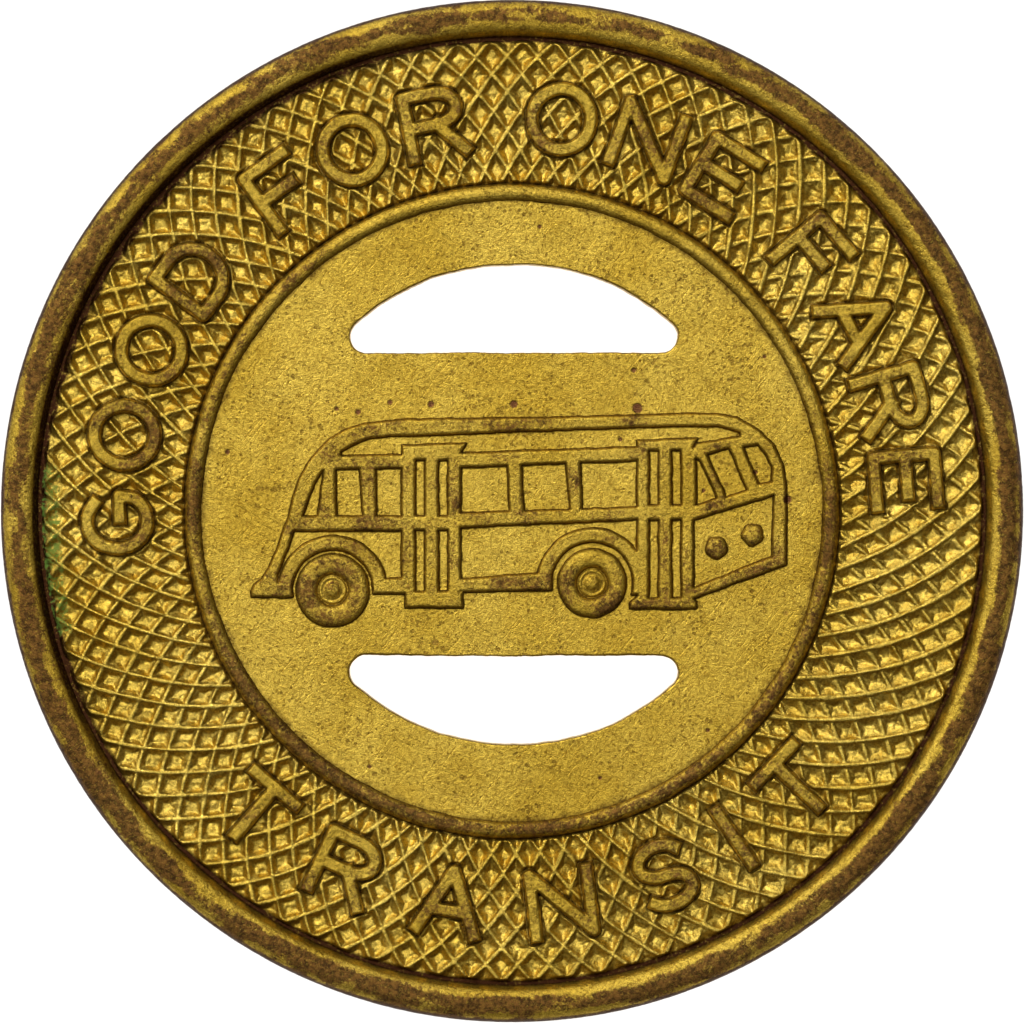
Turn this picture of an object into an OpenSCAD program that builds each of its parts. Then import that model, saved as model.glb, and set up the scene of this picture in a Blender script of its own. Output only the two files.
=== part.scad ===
// Transit token: a struck and pierced brass disc.
// A rounded rim, a hatched border and an inner ring surround a smooth field.
// The field carries a bus in relief and two cut-outs.
// Lengths are in mm. The obverse faces +Z. The bus stands upright along +Y and drives towards +X.
// Z = 0 is the plane of the reverse rim, on which the token rests. X = Y = 0 is the disc's centre.

/* [Disc] */
// Diameter over the rim
token_d = 23; // [16:0.5:38]
// Thickness at the rim
token_t = 1.6; // [1.4:0.1:2.4]
// Width of the rim
rim_w = 0.95; // [0.6:0.05:1.5]
// Radius of the rim's rounded edges
rim_round = 0.32; // [0.1:0.01:0.45]
// Depth of the field below the rim, on each face
field_drop = 0.2; // [0.1:0.02:0.4]

/* [Border] */
// Depth of the web under the hatching, below the rim, on each face
web_drop = 0.34; // [0.3:0.02:0.5]
// Thickness of the hatching at the bottom of its pits
pit_floor = 0.03; // [0.02:0.01:0.06]
// Height of the hatching's ridges above the bottom of the pits
ridge_rise = 0.12; // [0.04:0.01:0.2]
// Number of ridges that curl each way
ridge_count = 90; // [60:6:90]
// Diameter of the circles that the ridges follow
curl_d = 15.07; // [13:0.1:20]
// Turn of the ridges about the disc's centre, in degrees
ridge_turn = 0.75; // [0:0.25:4]

/* [Inner ring] */
// Diameter over the inner ring
ring_d = 14.7; // [9:0.1:16]
// Width of the inner ring
ring_w = 0.38; // [0.2:0.02:0.8]
// Width of the bevels on each side of the inner ring's crown
ring_bevel = 0.15; // [0.05:0.01:0.18]
// Depth of the inner ring's crown below the rim
ring_drop = 0.08; // [0.04:0.02:0.2]

/* [Cut-outs] */
// Radius of the cut-outs' curved side
cut_r = 5.4; // [4:0.05:6]
// Distance from the punch's centre to each cut-out's straight side
cut_flat = 3.41; // [3:0.05:4]
// Radius of the cut-outs' corners
cut_corner = 0.37; // [0.1:0.01:0.5]
// Shift of the punch's centre to the right of the disc's centre
cut_x = 0.05; // [-0.2:0.05:0.2]
// Shift of the punch's centre above the disc's centre
cut_y = 0.15; // [-0.2:0.05:0.2]

/* [Bus] */
// Length of the bus
bus_length = 12; // [8:0.5:12.5]
// Height of the bus above the field
bus_rise = 0.11; // [0.06:0.01:0.18]
// Height of the tyres above the field
tyre_rise = 0.13; // [0.06:0.01:0.18]
// Height of the headlamps above the field
lamp_rise = 0.1; // [0.06:0.01:0.16]

/* [Hidden] */
token_r = token_d / 2;
rim_in = token_r - rim_w;
ring_out = ring_d / 2;
ring_in = ring_out - ring_w;
web_top = token_t - web_drop;
field_top = token_t - field_drop;

// The hatching: rows of crossings, numbered outwards. Odd rows stand half a pitch round from even ones.
half_pitch = 180 / ridge_count;
row_shift = 0.35;
first_row = 14;
last_row = 22;
rows = last_row - first_row + 1;
row_points = 2 * ridge_count;
pit_z = pit_floor;
ridge_z = pit_floor + ridge_rise;

// The bus is drawn 12 mm long and scaled to bus_length.
bus_k = bus_length / 12;
floor_y = -1.86;
tail_floor_y = -1.94;
sill_y = -0.11;
belt_y = -0.45;
rear_door_l = -2.48;
rear_door_r = -1.15;
front_door_l = 2.81;
front_door_r = 4.08;
slot_w = 0.21;

// Lines of the bus's side, between the doors
header_top = [[rear_door_r, 1.31], [front_door_l, 1.44]];
header_low = [[rear_door_r, 0.98], [front_door_l, 1.13]];
belt_top = [[rear_door_r, -0.04], [front_door_l, 0.09]];
belt_low = [[rear_door_r, -0.37], [front_door_l, -0.20]];

// Wheels: centre and radius of the tyre, and radii of the fender over it
rear_wheel = [-4.03, -1.78];
rear_tyre_r = 0.826;
rear_fender_r = [0.904, 1.226];
front_wheel = [1.8, -1.62];
front_tyre_r = 0.775;
front_fender_r = [0.92, 1.24];
hub_r = 0.35;
boss_r = 0.2;
hub_rise = 0.05;
boss_rise = 0.11;
lamp_r = 0.245;
lamps = [[4.59, -0.82], [5.4, -0.53]];

// A disc large enough to clip any part of the token
wide = 2 * token_d;

function line_y(line, x) =
  line[0][1] + (line[1][1] - line[0][1]) * (x - line[0][0]) / (line[1][0] - line[0][0]);

// Radius of a row of crossings, held inside the border
function row_r(row) =
  min(rim_in, max(ring_out, curl_d * sin(half_pitch * (row + row_shift))));

function on_row(row, i, z) =
  let (r = row_r(row), a = ridge_turn + half_pitch * i) [r * cos(a), r * sin(a), z];

// Every second point of a row is a crossing of two ridges, and the others are pits.
function is_crossing(row, i) = (row + i) % 2 == 0;

function at(row, i) = (row - first_row) * row_points + i % row_points;

function upper_faces(row, i) =
  is_crossing(row, i)
  ? [[at(row, i), at(row + 1, i + 1), at(row, i + 1)], [at(row, i), at(row + 1, i), at(row + 1, i + 1)]]
  : [[at(row, i), at(row + 1, i), at(row, i + 1)], [at(row, i + 1), at(row + 1, i), at(row + 1, i + 1)]];

// ---- the disc ----

// A section from x0 to x1 and z0 to z1 with its four corners rounded
module rounded_section(x0, x1, z0, z1, r) {
  translate([x0, z0 + r]) square([x1 - x0, z1 - z0 - 2 * r]);
  translate([x0 + r, z0]) square([x1 - x0 - 2 * r, z1 - z0]);
  for (x = [x0 + r, x1 - r], z = [z0 + r, z1 - r]) translate([x, z]) circle(r);
}

// A section from x0 to x1 and z0 to z1 that narrows to its crown in two bevels on each side
module bevelled_section(x0, x1, z0, z1, bevel) {
  knee = bevel * (1 - cos(45));
  polygon([
    [x0, z0], [x1, z0], [x1, z1 - bevel], [x1 - knee, z1 - knee], [x1 - bevel, z1],
    [x0 + bevel, z1], [x0 + knee, z1 - knee], [x0, z1 - bevel]
  ]);
}

// One cut-out: the part of a disc beyond a straight line, with its two corners rounded
module cut_out() {
  corner_y = cut_flat + cut_corner;
  corner_x = sqrt(pow(cut_r - cut_corner, 2) - pow(corner_y, 2));
  reach = 2 * cut_r / norm([corner_x, corner_y]);
  intersection() {
    circle(cut_r);
    polygon([
      [-corner_x, cut_flat], [corner_x, cut_flat], [corner_x, corner_y],
      reach * [corner_x, corner_y], reach * [-corner_x, corner_y], [-corner_x, corner_y]
    ]);
  }
  for (side = [-1, 1]) translate([side * corner_x, corner_y]) circle(cut_corner);
}

module outer_rim() {
  color("goldenrod") rotate_extrude() rounded_section(rim_in, token_r, 0, token_t, rim_round);
}

module web() {
  color("darkgoldenrod") translate([0, 0, web_drop]) difference() {
    cylinder(r = rim_in, h = web_top - web_drop);
    cylinder(r = ring_in, h = web_top - web_drop);
  }
}

module centre_field() {
  color("gold") translate([0, 0, field_drop]) difference() {
    cylinder(r = ring_in, h = field_top - field_drop);
    translate([cut_x, cut_y, -field_drop]) for (turn = [0, 180])
      rotate([0, 0, turn]) linear_extrude(height = 2 * token_t) cut_out();
  }
}

module ring_bead() {
  rotate_extrude() bevelled_section(ring_in, ring_out, web_top, token_t - ring_drop, ring_bevel);
}

module inner_ring() {
  color("peru") ring_bead();
}

module inner_ring_reverse() {
  color("peru") turned_over() ring_bead();
}

// Two sets of ridges that curl opposite ways, with a four-sided pit in every diamond between them
module hatched_skin() {
  top = [
    for (row = [first_row:last_row], i = [0:row_points - 1])
      on_row(row, i, is_crossing(row, i) ? ridge_z : pit_z)
  ];
  inner_foot = [for (i = [0:row_points - 1]) on_row(first_row, i, 0)];
  outer_foot = [for (i = [0:row_points - 1]) on_row(last_row, i, 0)];
  inner = rows * row_points;
  outer = inner + row_points;
  translate([0, 0, web_top]) polyhedron(
    points = concat(top, inner_foot, outer_foot),
    faces = [
      for (row = [first_row:last_row - 1], i = [0:row_points - 1]) each upper_faces(row, i),
      for (i = [0:row_points - 1]) let (j = (i + 1) % row_points) each [
        [at(first_row, i), at(first_row, j), inner + i], [at(first_row, j), inner + j, inner + i],
        [at(last_row, i), outer + i, at(last_row, j)], [at(last_row, j), outer + i, outer + j],
        [inner + i, inner + j, outer + i], [inner + j, outer + j, outer + i]
      ]
    ]
  );
}

module hatching() {
  color("khaki") hatched_skin();
}

module hatching_reverse() {
  color("khaki") turned_over() hatched_skin();
}

// ---- the bus ----

// Turns what stands on the obverse over to the reverse, so that it reads upright from there
module turned_over() {
  translate([0, 0, token_t]) rotate([0, 180, 0]) children();
}

module raised() {
  translate([0, 0, field_top]) linear_extrude(height = bus_rise) scale(bus_k) children();
}

module roof_shape() {
  polygon([
    [-4.35, 1.38], [-4.09, 1.64], [-3.75, 1.83], [-3.32, 1.96], [-2.76, 2.04], [-2.03, 2.07],
    [1.07, 2.11], [3.74, 2.19], [4.63, 2.18], [5.08, 2.11], [5.52, 1.84], [5.12, 1.77],
    [4.63, 1.9], [3.3, 1.89], [0.42, 1.79], [-1.6, 1.71], [-2.76, 1.68], [-3.19, 1.63],
    [-3.58, 1.48], [-3.84, 1.33]
  ]);
}

module rear_quarter_shape() {
  polygon([
    [-3.84, 1.33], [-4.35, 1.38], [-4.61, 1.05], [-4.8, 0.71], [-4.91, 0.34], [-5.03, sill_y],
    [-4.7, sill_y], [-4.57, 0.26], [-4.46, 0.56], [-4.29, 0.85], [-4.24, 0.9], [-4.24, 0.94],
    [-3.84, 0.94]
  ]);
}

module rear_tail_shape() {
  difference() {
    polygon([
      [-5.14, belt_y], [-5.18, -0.56], [-5.32, -0.95], [-5.47, -1.27], [-5.64, -1.53],
      [-5.8, -1.64], [-5.87, -1.79], [-5.85, tail_floor_y], rear_wheel, [-5.25, -1.56],
      [-5.26, -1.42], [-5.04, -0.86], [-4.91, belt_y]
    ]);
    translate(rear_wheel) circle(rear_fender_r[1]);
    translate([-wide, tail_floor_y - wide]) square([2 * wide, wide]);
  }
}

module rear_header_shape() {
  polygon([[-3.84, 0.94], [rear_door_l, 0.96], [rear_door_l, 1.27], [-3.84, 1.25]]);
}

module side_header_shape() {
  polygon(concat(header_low, [header_top[1], header_top[0]]));
}

// A post between two side windows, from the belt up to the header
module side_post(low, high) {
  polygon([
    [low[0], line_y(belt_top, low[0])], [low[1], line_y(belt_top, low[1])],
    [high[1], line_y(header_low, high[1])], [high[0], line_y(header_low, high[0])]
  ]);
}

module window_post_shapes() {
  polygon([[-4.24, 0.94], [-4.24, 0.9], [-4.37, sill_y], [-3.94, sill_y], [-3.96, 0.94]]);
  polygon([[-3.43, 0.946], [-3.35, sill_y], [-3.04, sill_y], [-3.06, 0.9515]]);
  side_post([-0.06, 0.27], [-0.1, 0.21]);
  side_post([1.3, 1.57], [1.21, 1.54]);
}

module rear_belt_shape() {
  polygon([[-5.03, sill_y], [-5.14, belt_y], [rear_door_l, belt_y], [rear_door_l, sill_y]]);
}

module side_belt_shape() {
  polygon(concat(belt_low, [belt_top[1], belt_top[0]]));
}

module door_slot(x, y0, y1) {
  translate([x, y0]) square([slot_w, y1 - y0]);
}

module rear_door_shape() {
  difference() {
    polygon([
      [rear_door_l, floor_y], [-2.4, floor_y], [-2.4, -2.17], [-1.1, -2.17], [-1.1, -1.82],
      [rear_door_r, -1.82], [rear_door_r, 1.31], [-1.02, 1.53], [rear_door_l, 1.48]
    ]);
    for (x = [-2.17, -1.65]) {
      door_slot(x, sill_y, 1.14);
      door_slot(x, -1.8, -0.43);
    }
  }
}

module front_door_shape() {
  difference() {
    polygon([
      [2.65, -2.2], [4.14, -2.2], [4.14, -2.05], [front_door_r, -1.98], [front_door_r, 1.45],
      [4.18, 1.63], [front_door_l, 1.59], [front_door_l, -1.9], [2.65, -2.05]
    ]);
    for (x = [3.08, 3.59]) {
      door_slot(x, 0.13, 1.37);
      door_slot(x, -1.95, -0.2);
    }
  }
}

module windscreen_shape() {
  difference() {
    polygon([
      [front_door_r, -0.2], [5.88, 0.345], [6.165, 0.345], [6.165, 0.58], [6.08, 1.07],
      [5.88, 1.49], [5.52, 1.84], [5.12, 1.77], [5.12, 1.67], [4.14, 1.52], [front_door_r, 1.41]
    ]);
    polygon([[4.14, 0.14], [4.6, 0.29], [4.23, 1.13], [4.14, 1.19]]);
    polygon([[4.39, 1.27], [4.88, 1.4], [5.28, 0.465], [4.81, 0.31]]);
    polygon([[5.19, 1.44], [5.52, 1.49], [5.72, 1.24], [5.83, 0.98], [5.84, 0.67], [5.54, 0.61]]);
  }
}

module nose_shape() {
  polygon([[5.88, 0.345], [5.84, -1.02], [6.165, -1.16], [6.165, 0.345]]);
}

module chin_shape() {
  polygon([[front_door_r, -1.72], [5.84, -1.02], [6.165, -1.16], [6.165, -1.2], [front_door_r, -1.98]]);
}

module rear_skirt_shape() {
  difference() {
    translate([-3, floor_y]) square([rear_door_l + 3, 0.35]);
    translate(rear_wheel) circle(rear_fender_r[1]);
  }
}

module side_skirt_shape() {
  difference() {
    polygon([[rear_door_r, -1.82], [rear_door_r, -1.53], [0.9, -1.36], [0.9, -1.78]]);
    translate(front_wheel) circle(front_fender_r[1]);
  }
}

// A ring over a wheel, cut off level at each side
module fender_shape(wheel, radii, left_foot, right_foot, right_end) {
  difference() {
    translate(wheel) circle(radii[1]);
    translate(wheel) circle(radii[0]);
    translate([wheel[0] - wide, left_foot - wide]) square([wide, wide]);
    translate([wheel[0], right_foot - wide]) square([wide, wide]);
    translate([right_end, -wide]) square([wide, 2 * wide]);
  }
}

module rear_fender_shape() {
  fender_shape(rear_wheel, rear_fender_r, tail_floor_y, floor_y, 0);
}

module front_fender_shape() {
  fender_shape(front_wheel, front_fender_r, -1.78, -1.88, front_door_l);
}

// A ring of rounded section between the hub and the tread
module tyre(wheel, tyre_r) {
  half_w = (tyre_r - hub_r) * bus_k / 2;
  crown_r = (half_w * half_w + tyre_rise * tyre_rise) / (2 * tyre_rise);
  translate([bus_k * wheel[0], bus_k * wheel[1], field_top]) rotate_extrude()
    translate([(tyre_r + hub_r) * bus_k / 2, 0]) intersection() {
      translate([0, tyre_rise - crown_r]) circle(crown_r);
      translate([-half_w, 0]) square([2 * half_w, tyre_rise]);
    }
}

module hub(wheel) {
  translate([bus_k * wheel[0], bus_k * wheel[1], field_top]) {
    cylinder(r = hub_r * bus_k, h = hub_rise);
    cylinder(r1 = boss_r * bus_k, r2 = boss_r * bus_k / 2, h = boss_rise);
  }
}

module lamp(centre) {
  r = lamp_r * bus_k;
  dome_r = (r * r + lamp_rise * lamp_rise) / (2 * lamp_rise);
  translate([bus_k * centre[0], bus_k * centre[1], field_top]) intersection() {
    translate([0, 0, lamp_rise - dome_r]) sphere(dome_r);
    cylinder(r = r, h = lamp_rise);
  }
}

module roof() { color("sienna") raised() roof_shape(); }
module rear_quarter() { color("sienna") raised() rear_quarter_shape(); }
module rear_tail() { color("sienna") raised() rear_tail_shape(); }
module rear_header() { color("peru") raised() rear_header_shape(); }
module side_header() { color("peru") raised() side_header_shape(); }
module window_posts() { color("sienna") raised() window_post_shapes(); }
module rear_belt() { color("peru") raised() rear_belt_shape(); }
module side_belt() { color("peru") raised() side_belt_shape(); }
module rear_door() { color("chocolate") raised() rear_door_shape(); }
module front_door() { color("chocolate") raised() front_door_shape(); }
module windscreen_frame() { color("sienna") raised() windscreen_shape(); }
module nose_post() { color("peru") raised() nose_shape(); }
module chin_bar() { color("sienna") raised() chin_shape(); }
module headlamps() { color("chocolate") for (centre = lamps) lamp(centre); }
module rear_skirt() { color("sienna") raised() rear_skirt_shape(); }
module side_skirt() { color("sienna") raised() side_skirt_shape(); }
module rear_fender() { color("peru") raised() rear_fender_shape(); }
module front_fender() { color("peru") raised() front_fender_shape(); }
module rear_tyre() { color("saddlebrown") tyre(rear_wheel, rear_tyre_r); }
module front_tyre() { color("saddlebrown") tyre(front_wheel, front_tyre_r); }
module rear_hub() { color("peru") hub(rear_wheel); }
module front_hub() { color("peru") hub(front_wheel); }

module bus_reverse() {
  color("sienna") turned_over() {
    raised() {
      roof_shape();
      rear_quarter_shape();
      rear_tail_shape();
      rear_header_shape();
      side_header_shape();
      window_post_shapes();
      rear_belt_shape();
      side_belt_shape();
      rear_door_shape();
      front_door_shape();
      windscreen_shape();
      nose_shape();
      chin_shape();
      rear_skirt_shape();
      side_skirt_shape();
      rear_fender_shape();
      front_fender_shape();
    }
    for (centre = lamps) lamp(centre);
  }
}

module wheels_reverse() {
  color("saddlebrown") turned_over() {
    tyre(rear_wheel, rear_tyre_r);
    hub(rear_wheel);
    tyre(front_wheel, front_tyre_r);
    hub(front_wheel);
  }
}

outer_rim();
web();
centre_field();
inner_ring();
inner_ring_reverse();
hatching();
hatching_reverse();
roof();
rear_quarter();
rear_tail();
rear_header();
side_header();
window_posts();
rear_belt();
side_belt();
rear_door();
front_door();
windscreen_frame();
nose_post();
chin_bar();
headlamps();
rear_skirt();
side_skirt();
rear_fender();
front_fender();
rear_tyre();
front_tyre();
rear_hub();
front_hub();
bus_reverse();
wheels_reverse();
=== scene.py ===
"""Looks of the transit token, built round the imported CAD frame.

Lengths are in mm unless a name says otherwise, and become metres when a mesh is made. An angle
named turn is in degrees, clockwise from the top of the obverse. The obverse faces +Z. What belongs
to the reverse is built in the same way and turned over about Y.
"""

import math

import bpy
import numpy as np
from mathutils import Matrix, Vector, kdtree
from mathutils.geometry import delaunay_2d_cdt


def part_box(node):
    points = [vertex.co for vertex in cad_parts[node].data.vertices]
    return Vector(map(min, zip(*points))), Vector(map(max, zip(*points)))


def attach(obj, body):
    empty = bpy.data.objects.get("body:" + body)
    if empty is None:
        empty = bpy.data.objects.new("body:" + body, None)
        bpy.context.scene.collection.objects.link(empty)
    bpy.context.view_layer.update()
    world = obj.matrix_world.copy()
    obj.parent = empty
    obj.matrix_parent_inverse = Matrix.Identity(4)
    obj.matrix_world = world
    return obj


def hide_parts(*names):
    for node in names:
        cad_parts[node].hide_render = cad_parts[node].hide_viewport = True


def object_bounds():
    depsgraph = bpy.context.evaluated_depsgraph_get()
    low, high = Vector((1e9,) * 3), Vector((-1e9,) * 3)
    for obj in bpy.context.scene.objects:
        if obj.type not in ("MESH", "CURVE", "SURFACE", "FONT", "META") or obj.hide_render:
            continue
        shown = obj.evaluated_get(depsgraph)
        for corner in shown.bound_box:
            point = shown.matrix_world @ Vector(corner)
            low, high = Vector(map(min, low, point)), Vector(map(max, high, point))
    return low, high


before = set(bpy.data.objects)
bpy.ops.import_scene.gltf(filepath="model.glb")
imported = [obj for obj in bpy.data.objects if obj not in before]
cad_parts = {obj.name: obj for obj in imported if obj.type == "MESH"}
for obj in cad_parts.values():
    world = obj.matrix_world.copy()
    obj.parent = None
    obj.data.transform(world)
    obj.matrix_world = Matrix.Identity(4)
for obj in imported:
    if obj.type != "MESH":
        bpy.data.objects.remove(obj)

CAD_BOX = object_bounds()
MM = 0.001

# ---- sizes from the frame ----
TOKEN_R = round(CAD_BOX[1][0] / MM, 3)
TOKEN_T = round(CAD_BOX[1][2] / MM, 3)
MID_Z = TOKEN_T / 2
FIELD_Z = round(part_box("centre_field")[1][2] / MM, 3)

# ---- sizes as in the CAD source ----
RIM_IN = 10.55
RING_OUT = 7.35
CURL_D = 15.07  # diameter of the circles that the ridges curl along
RIDGE_PITCH = 4.0  # degrees between ridges that curl the same way
RIDGE_A, RIDGE_B = 1.45, 0.05  # where each set of ridges starts, degrees
CUT_R, CUT_FLAT, CUT_CORNER = 5.4, 3.41, 0.37
CUT_X, CUT_Y = 0.05, 0.15
BUS_RISE = 0.11

# ---- the bus's shapes, as in the CAD source ----
FLOOR_Y, TAIL_FLOOR_Y, SILL_Y, BELT_Y = -1.86, -1.94, -0.11, -0.45
REAR_L, REAR_R, FRONT_L, FRONT_R = -2.48, -1.15, 2.81, 4.08
SLOT_W = 0.21
HEADER_TOP = [[REAR_R, 1.31], [FRONT_L, 1.44]]
HEADER_LOW = [[REAR_R, 0.98], [FRONT_L, 1.13]]
BELT_TOP = [[REAR_R, -0.04], [FRONT_L, 0.09]]
BELT_LOW = [[REAR_R, -0.37], [FRONT_L, -0.20]]
REAR_WHEEL, REAR_TYRE_R, REAR_FENDER = (-4.03, -1.78), 0.826, (0.904, 1.226)
FRONT_WHEEL, FRONT_TYRE_R, FRONT_FENDER = (1.8, -1.62), 0.775, (0.92, 1.24)
HUB_R, HUB_GROOVE_R, BOSS_R = 0.35, 0.225, 0.2
HUB_RISE, BOSS_RISE, TYRE_RISE, LAMP_RISE = 0.05, 0.11, 0.13, 0.1
LAMP_R = 0.245
LAMPS = [(4.59, -0.82), (5.4, -0.53)]


# ---- numbers ----
def smooth(t):
    """0 up to 0, 1 from 1, and an S-curve between them"""
    t = np.clip(t, 0.0, 1.0)
    return t * t * (3 - 2 * t)


def crown(t):
    """0 at the foot, 1 on top, round like a quarter circle"""
    t = np.clip(t, 0.0, 1.0)
    return np.sqrt(np.maximum(1 - (1 - t) ** 2, 0))


def window(value, low, rise, high, fall):
    """1 between low and high, with soft ends rise and fall wide inside them"""
    return smooth((value - low) / rise) * smooth((high - value) / fall)


def soft_line(value, centre, width):
    """1 at the centre, dying away on both sides"""
    return np.exp(-(((value - centre) / width) ** 2))


def noise(x, y, cell, seed):
    """Smooth random field between -1 and 1 with features of size cell, which repeats every 128 cells"""
    table = np.random.default_rng(seed).random((128, 128)) * 2 - 1
    u, v = x / cell + 512.37, y / cell + 512.71
    i, j = np.floor(u).astype(int), np.floor(v).astype(int)
    f, g = smooth(u - i), smooth(v - j)
    i0, i1, j0, j1 = i % 128, (i + 1) % 128, j % 128, (j + 1) % 128
    low = table[i0, j0] * (1 - f) + table[i1, j0] * f
    high = table[i0, j1] * (1 - f) + table[i1, j1] * f
    return low * (1 - g) + high * g


def field_wave(x, y):
    """Slight unevenness of the struck surfaces"""
    return 0.006 * noise(x, y, 1.7, 11) + 0.0022 * noise(x, y, 0.42, 12)


def turn_of(x, y):
    return np.degrees(np.arctan2(x, y)) % 360


def cos_turn(turn, centre):
    """1 where turn is at the centre, -1 on the opposite side"""
    return np.cos(np.radians(turn - centre))


def rim_shadow_side(turn):
    """1 at the upper left, where the rim's painted shadow lies along its foot"""
    return smooth((cos_turn(turn, 295) - 0.35) / 0.4)


def verdigris(x, y, z):
    """Where verdigris has grown: at the rim's foot, on the left of the obverse"""
    near = window(turn_of(x, y), 250, 6, 280, 6)
    return near * window(np.hypot(x, y), 9.95, 0.3, 10.64, 0.08) * (z > MID_Z)


def strokes_distance(x, y, lines):
    """Distance from the nearest of some polylines, whose free ends are cut square"""
    best = np.full(x.shape, 1e9)
    for line in lines:
        last = len(line) - 2
        closed = math.dist(line[0], line[-1]) < 1e-6
        for i, ((ax, ay), (bx, by)) in enumerate(zip(line, line[1:])):
            length = math.hypot(bx - ax, by - ay)
            if length < 1e-6:
                continue
            dx, dy = (bx - ax) / length, (by - ay) / length
            along = (x - ax) * dx + (y - ay) * dy
            across = np.abs((x - ax) * dy - (y - ay) * dx)
            before, after = np.maximum(-along, 0), np.maximum(along - length, 0)
            d = np.hypot(across, before + after)
            if not closed and i == 0:
                d = np.where(before > 0, np.maximum(across, before), d)
            if not closed and i == last:
                d = np.where(after > 0, np.maximum(across, after), d)
            best = np.minimum(best, d)
    return best


def in_polygon(x, y, loop):
    inside = np.zeros(x.shape, bool)
    for (ax, ay), (bx, by) in zip(loop, loop[1:] + loop[:1]):
        if ay == by:
            continue
        crosses = (ay > y) != (by > y)
        inside ^= crosses & (x < (bx - ax) * (y - ay) / (by - ay) + ax)
    return inside


def in_box(x, y, x0, y0, x1, y1):
    return (x > x0) & (x < x1) & (y > y0) & (y < y1)


def arc(cx, cy, rx, ry, a0, a1, n=18):
    """Points of a part of an ellipse, from angle a0 to a1, both ends included"""
    a = np.radians(np.linspace(a0, a1, n + 1))
    return list(zip((cx + rx * np.cos(a)).tolist(), (cy + ry * np.sin(a)).tolist()))


def ring_points(cx, cy, r, n):
    return arc(cx, cy, r, r, 0, 360, n)[:-1]


# ---- meshes ----
def turned(points, side):
    """A point of the obverse, or the same point turned over to the reverse"""
    if side > 0:
        return points
    out = points.copy()
    out[..., 0] = -points[..., 0]
    out[..., 2] = TOKEN_T - points[..., 2]
    return out


def turned_normals(normals, side):
    return normals if side > 0 else normals * np.array([-1.0, 1.0, -1.0])


def grid_normals(p, wrap):
    if wrap:
        du = np.roll(p, -1, 1) - np.roll(p, 1, 1)
    else:
        du = np.gradient(p, axis=1)
    n = np.cross(du, np.gradient(p, axis=0))
    return n / np.maximum(np.linalg.norm(n, axis=-1, keepdims=True), 1e-12)


def new_piece(name, co, faces, normals, values, material, nodes):
    """A mesh piece from arrays. values are its per-vertex numbers: toning and painted light, grime and
    painted shade, and green.
    """
    mesh = bpy.data.meshes.new(name)
    mesh.vertices.add(len(co))
    mesh.vertices.foreach_set("co", (co * MM).astype(np.float32).ravel())
    mesh.loops.add(faces.size)
    mesh.loops.foreach_set("vertex_index", faces.astype(np.int32).ravel())
    mesh.polygons.add(len(faces))
    mesh.polygons.foreach_set("loop_start", np.arange(0, faces.size, faces.shape[1], dtype=np.int32))
    mesh.update(calc_edges=True)
    mesh.polygons.foreach_set("use_smooth", np.ones(len(faces), bool))
    for key in ("tone_and_shading", "dirt_and_shade", "green"):
        layer = mesh.attributes.new(key, "FLOAT", "POINT")
        layer.data.foreach_set("value", np.broadcast_to(values[key], len(co)).astype(np.float32))
    mesh.normals_split_custom_set_from_vertices(normals.astype(float).tolist())
    mesh.materials.append(material)
    piece = bpy.data.objects.new(name, mesh)
    bpy.context.scene.collection.objects.link(piece)
    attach(piece, "root")
    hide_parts(*nodes)


def grid_piece(name, p, values, material, slot, nodes, side=1, wrap=True, cells=None, normals=None):
    """A piece from a grid of points. cells picks the grid's cells that belong to it."""
    rows, cols = p.shape[:2]
    if normals is None:
        normals = grid_normals(p, wrap)
    n_cols = cols if wrap else cols - 1
    r, c = np.meshgrid(np.arange(rows - 1), np.arange(n_cols), indexing="ij")
    if cells is not None:
        r, c = r[cells], c[cells]
    r, c = r.ravel(), c.ravel()
    c1 = (c + 1) % cols
    quads = np.stack([r * cols + c, r * cols + c1, (r + 1) * cols + c1, (r + 1) * cols + c], 1)
    used, back = np.unique(quads, return_inverse=True)
    quads = back.reshape(quads.shape)
    co = turned(p.reshape(-1, 3)[used], side)
    nn = turned_normals(normals.reshape(-1, 3)[used], side)
    picked = {k: np.broadcast_to(v, p.shape[:2]).reshape(-1)[used] for k, v in values.items()}
    new_piece(name, co, quads, nn, picked, material, nodes)


# ---- materials ----
def srgb(r, g, b):
    def linear(c):
        c /= 255
        return c / 12.92 if c <= 0.04045 else ((c + 0.055) / 1.055) ** 2.4

    return (linear(r), linear(g), linear(b), 1.0)


GOLD, DEEP, DULL = srgb(228, 194, 80), srgb(206, 170, 58), srgb(132, 98, 26)
# brighter gold for the hatching than for the field: painted light on the pits' floors
LIT_HATCH_GOLD, LIT_HATCH_DEEP = srgb(246, 214, 100), srgb(228, 192, 74)
BROWN, TAN = srgb(64, 37, 19), srgb(134, 92, 42)
SPECK, SPOT = srgb(92, 60, 24), srgb(96, 52, 40)
TARNISH_AND_SHADE, GREEN = srgb(62, 32, 9), srgb(96, 138, 40)


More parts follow.
